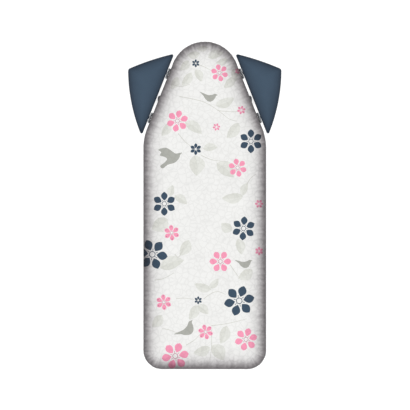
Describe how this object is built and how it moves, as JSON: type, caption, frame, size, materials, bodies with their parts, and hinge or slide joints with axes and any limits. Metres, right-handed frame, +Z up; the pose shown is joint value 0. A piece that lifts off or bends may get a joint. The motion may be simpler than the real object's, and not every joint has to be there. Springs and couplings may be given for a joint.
{
  "type": "ironing board",
  "caption": "Folding ironing board with a round tapered nose, padded printed cover, crossed steel legs and hinged padded shoulder wings.",
  "frame": {"origin": "on the floor under the centre of the board, with the legs standing and both wings out", "axes": "+X across the board, +Y towards the nose, +Z up"},
  "size_m": [0.5598, 1.2, 0.9191],
  "materials": {
    "frame_paint": "satin powder coat",
    "deck_steel": "galvanised",
    "foam": "felt",
    "printed_cotton": "woven cotton with a flower and bird print",
    "navy_cotton": "plain woven cotton",
    "dark_plastic": "fine grain",
    "foot_rubber": "matt",
    "leg_paint": "satin powder coat",
    "zinc_steel": "zinc plated"
  },
  "bodies": {
    "board": {"deck_frame": "frame_paint", "deck_sheet": "deck_steel", "nose_rib": "frame_paint", "pivot_rib": "frame_paint", "middle_rib": "frame_paint", "heel_rib": "frame_paint", "foam_pad": "foam", "board_cover": "printed_cotton", "pivot_bracket_left": "zinc_steel", "pivot_bracket_right": "zinc_steel", "pivot_bolt": "zinc_steel", "pivot_nut": "zinc_steel", "slide_rail_left": "zinc_steel", "slide_rail_right": "zinc_steel", "frame_bolts": "zinc_steel", "rail_stops": "dark_plastic", "guide_rod": "zinc_steel", "rod_bracket_front": "zinc_steel", "rod_bracket_rear": "zinc_steel", "hinge_brackets": "zinc_steel", "hinge_pins": "zinc_steel", "hinge_screws": "zinc_steel", "hinge_washers": "zinc_steel"},
    "outer_leg": {"outer_leg_left_tube": "leg_paint", "outer_leg_right_tube": "leg_paint", "outer_leg_sleeve": "leg_paint", "outer_leg_brace": "leg_paint", "rear_foot_bar": "leg_paint", "rear_foot_cap_left": "foot_rubber", "rear_foot_cap_right": "foot_rubber"},
    "inner_leg": {"inner_leg_left_tube": "leg_paint", "inner_leg_right_tube": "leg_paint", "slide_bar": "leg_paint", "inner_leg_brace": "leg_paint", "front_foot_bar": "leg_paint", "front_foot_cap_left": "foot_rubber", "front_foot_cap_right": "foot_rubber", "cross_axle": "zinc_steel", "axle_nuts": "dark_plastic", "spacer_bushes": "dark_plastic"},
    "carriage": {"slide_shoe_left": "dark_plastic", "slide_shoe_right": "dark_plastic", "clamp_housing": "dark_plastic", "clutch_plates": "zinc_steel", "clutch_spring": "zinc_steel", "grip_bar": "zinc_steel", "grip_bar_sleeve": "dark_plastic", "lever_pin": "zinc_steel"},
    "lever": {"release_lever": "zinc_steel", "lever_grip": "dark_plastic"},
    "wing_left": {"wing_tray_left": "frame_paint", "wing_foam_left": "foam", "wing_cover_left": "navy_cotton", "wing_hinge_left": "zinc_steel"},
    "wing_right": {"wing_tray_right": "frame_paint", "wing_foam_right": "foam", "wing_cover_right": "navy_cotton", "wing_hinge_right": "zinc_steel"}
  },
  "joints": [
    {"name": "outer_leg_fold", "type": "hinge", "parent": "board", "child": "outer_leg", "pos_m": [0, 0.27, 0.86705], "axis": [-1, 0, 0], "range_deg": [0, 48.5]},
    {"name": "leg_crossing", "type": "hinge", "parent": "outer_leg", "child": "inner_leg", "pos_m": [0, 0.02373, 0.55185], "axis": [-1, 0, 0], "range_deg": [-97, 0]},
    {"name": "carriage_level", "type": "hinge", "parent": "inner_leg", "child": "carriage", "pos_m": [0, -0.22253, 0.86705], "axis": [-1, 0, 0], "range_deg": [0, 48.5]},
    {"name": "release_lever", "type": "hinge", "parent": "carriage", "child": "lever", "pos_m": [0.011, -0.24453, 0.84805], "axis": [0, 0, -1], "range_deg": [0, 3.5], "stiffness_Nm_per_rad": 2, "springref_deg": -5.73},
    {"name": "wing_fold_left", "type": "hinge", "parent": "board", "child": "wing_left", "pos_m": [-0.16516, 0.41157, 0.88805], "axis": [-0.3697, -0.9291, 0], "range_deg": [0, 180]},
    {"name": "wing_fold_right", "type": "hinge", "parent": "board", "child": "wing_right", "pos_m": [0.16516, 0.41157, 0.88805], "axis": [-0.3697, 0.9291, 0], "range_deg": [0, 180]}
  ],
  "couplings": [
    {"joint": "leg_crossing", "follows": "outer_leg_fold", "ratio": -2},
    {"joint": "carriage_level", "follows": "outer_leg_fold", "ratio": 1}
  ]
}
